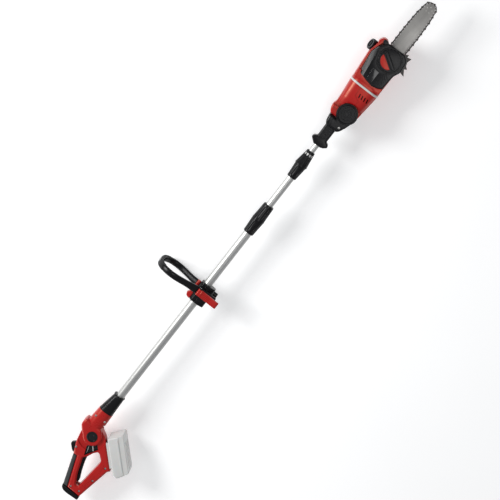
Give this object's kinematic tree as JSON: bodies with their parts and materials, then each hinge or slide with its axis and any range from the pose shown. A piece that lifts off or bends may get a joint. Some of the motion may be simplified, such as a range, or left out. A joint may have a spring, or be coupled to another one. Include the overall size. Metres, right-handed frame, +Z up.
{
  "type": "telescoping pole saw",
  "caption": "Cordless pole saw: a two-stage telescoping pole with a tilting trigger handle, a sliding loop handle and a tilting saw head on a motor unit.",
  "frame": {"origin": "centre of the base rectangle of the bounding box, on the surface that the tool lies on", "axes": "+X runs along the pole towards the saw, +Y towards the loop handle, +Z up through the chain cover"},
  "size_m": [1.874, 0.3292, 0.1509],
  "materials": {
    "red": "semi-gloss red moulded plastic",
    "black": "fine-textured black moulded plastic",
    "rubber": "dark grey grip rubber",
    "tube": "anodised aluminium tube",
    "steel": "brushed steel",
    "chain": "dark oiled steel",
    "pale": "light grey moulded plastic",
    "copper": "copper windings on a steel core"
  },
  "bodies": {
    "pole": {"outer_tube": "tube", "pole_collar": "black", "socket_shell_near": "red", "socket_shell_far": "red", "handle_tilt_pin": "steel", "handle_tilt_spring": "steel", "lower_clutch_body": "black", "lower_clutch_collet": "pale"},
    "handle": {"handle_shell_near": "red", "handle_shell_far": "red", "grip_overmould": "rubber", "handle_end_cap": "black", "window_insert": "black", "battery_rail": "black", "trigger_switch": "black", "trigger_pin": "steel", "trigger_spring": "steel"},
    "trigger": {"trigger": "black"},
    "lock_off": {"lock_off_button": "black"},
    "battery": {"battery_case": "pale"},
    "battery_latch": {"battery_latch": "pale"},
    "handle_tilt_button": {"handle_tilt_button": "black"},
    "lower_nut": {"lower_clutch_nut": "black"},
    "middle": {"middle_tube": "tube", "middle_tube_plug": "black", "upper_clutch_body": "black", "upper_clutch_collet": "pale"},
    "upper_nut": {"upper_clutch_nut": "black"},
    "inner": {"inner_tube": "tube", "inner_tube_plug": "black", "neck_shell_near": "black", "neck_shell_far": "black", "head_tilt_pin": "steel", "head_tilt_spring": "steel"},
    "head_tilt_button": {"head_tilt_button": "black"},
    "front_handle": {"clamp_upper": "black", "clamp_lower": "black", "loop_handle": "black", "clamp_bolt": "steel", "lever_pin": "steel"},
    "clamp_lever": {"clamp_lever": "red"},
    "slide_latch": {"slide_latch": "red"},
    "motor_unit": {"motor_housing_near": "red", "motor_housing_far": "red", "lock_ring": "pale", "motor_can": "chain"},
    "rotor": {"motor_rotor": "copper"},
    "saw_head": {"saw_housing": "red", "oil_tank": "pale", "chain_cover": "black", "guide_bar": "steel", "saw_chain": "chain", "bumper_spikes": "chain", "bar_stud": "steel"},
    "oil_cap": {"oil_cap": "black"},
    "tension_knob": {"tension_knob": "black"},
    "pinion": {"input_pinion": "steel"},
    "sprocket": {"bevel_gear": "steel", "drive_sprocket": "chain"},
    "nose": {"nose_sprocket": "chain"}
  },
  "joints": [
    {"name": "handle_tilt", "type": "hinge", "parent": "pole", "child": "handle", "pos_m": [-0.73436, -0.00574, 0.07546], "axis": [0, 0, 1], "range_deg": [-15, 30]},
    {"name": "handle_tilt_button_press", "type": "slide", "parent": "pole", "child": "handle_tilt_button", "axis": [0, 0, -1], "range_m": [0, 0.004], "stiffness_N_per_m": 1500, "deforming": ["handle_tilt_spring"]},
    {"name": "trigger_pull", "type": "hinge", "parent": "handle", "child": "trigger", "pos_m": [-0.80436, -0.00974, 0.07546], "axis": [0, 0, 1], "range_deg": [-7, 0], "stiffness_Nm_per_rad": 1.5},
    {"name": "lock_off_press", "type": "slide", "parent": "handle", "child": "lock_off", "axis": [0.4088, -0.9126, 0], "range_m": [0, 0.004], "stiffness_N_per_m": 900},
    {"name": "battery_slide", "type": "slide", "parent": "handle", "child": "battery", "axis": [-0.7133, -0.7009, 0], "range_m": [0, 0.08]},
    {"name": "battery_latch_press", "type": "slide", "parent": "battery", "child": "battery_latch", "axis": [0.7133, 0.7009, 0], "range_m": [0, 0.003], "stiffness_N_per_m": 800},
    {"name": "lower_nut_twist", "type": "hinge", "parent": "pole", "child": "lower_nut", "pos_m": [0.13864, 0.00226, 0.07546], "axis": [1, 0, 0], "range_deg": [0, 90]},
    {"name": "telescope_lower", "type": "slide", "parent": "pole", "child": "middle", "axis": [1, 0, 0], "range_m": [-0.1, 0.42]},
    {"name": "upper_nut_twist", "type": "hinge", "parent": "middle", "child": "upper_nut", "pos_m": [0.34864, 0.00226, 0.07546], "axis": [1, 0, 0], "range_deg": [0, 90]},
    {"name": "telescope_upper", "type": "slide", "parent": "middle", "child": "inner", "axis": [1, 0, 0], "range_m": [-0.02, 0.44]},
    {"name": "head_tilt", "type": "hinge", "parent": "inner", "child": "motor_unit", "pos_m": [0.53464, -0.01174, 0.07546], "axis": [0, 0, 1], "range_deg": [-60, 0]},
    {"name": "head_tilt_button_press", "type": "slide", "parent": "inner", "child": "head_tilt_button", "axis": [0, 0, -1], "range_m": [0, 0.003], "stiffness_N_per_m": 1500, "deforming": ["head_tilt_spring"]},
    {"name": "front_handle_slide", "type": "slide", "parent": "pole", "child": "front_handle", "axis": [1, 0, 0], "range_m": [-0.3, 0.15]},
    {"name": "clamp_lever_swing", "type": "hinge", "parent": "front_handle", "child": "clamp_lever", "pos_m": [-0.15736, 0.01126, 0.11946], "axis": [-1, 0, 0], "range_deg": [0, 100]},
    {"name": "slide_latch_move", "type": "slide", "parent": "front_handle", "child": "slide_latch", "axis": [1, 0, 0], "range_m": [0, 0.005], "stiffness_N_per_m": 500},
    {"name": "rotor_spin", "type": "hinge", "parent": "motor_unit", "child": "rotor", "pos_m": [0.58464, -0.01274, 0.07546], "axis": [1, 0, 0], "continuous": true},
    {"name": "saw_head_pull_off", "type": "slide", "parent": "motor_unit", "child": "saw_head", "axis": [1, 0, 0], "range_m": [0, 0.05]},
    {"name": "oil_cap_lift", "type": "slide", "parent": "saw_head", "child": "oil_cap", "axis": [0, 0.9063, 0.4226], "range_m": [0, 0.03]},
    {"name": "tension_knob_turn", "type": "hinge", "parent": "saw_head", "child": "tension_knob", "pos_m": [0.73164, -0.01274, 0.13046], "axis": [0, 0, 1], "range_deg": [0, 360]},
    {"name": "pinion_spin", "type": "hinge", "parent": "saw_head", "child": "pinion", "pos_m": [0.65464, -0.01274, 0.07546], "axis": [1, 0, 0], "continuous": true},
    {"name": "sprocket_spin", "type": "hinge", "parent": "saw_head", "child": "sprocket", "pos_m": [0.67664, -0.01274, 0.07546], "axis": [0, 0, 1], "continuous": true},
    {"name": "nose_spin", "type": "hinge", "parent": "saw_head", "child": "nose", "pos_m": [0.91564, -0.01274, 0.10346], "axis": [0, 0, 1], "continuous": true}
  ],
  "couplings": [
    {"joint": "pinion_spin", "follows": "rotor_spin", "ratio": 1},
    {"joint": "sprocket_spin", "follows": "rotor_spin", "ratio": 0.33333},
    {"joint": "nose_spin", "follows": "rotor_spin", "ratio": 0.33}
  ]
}
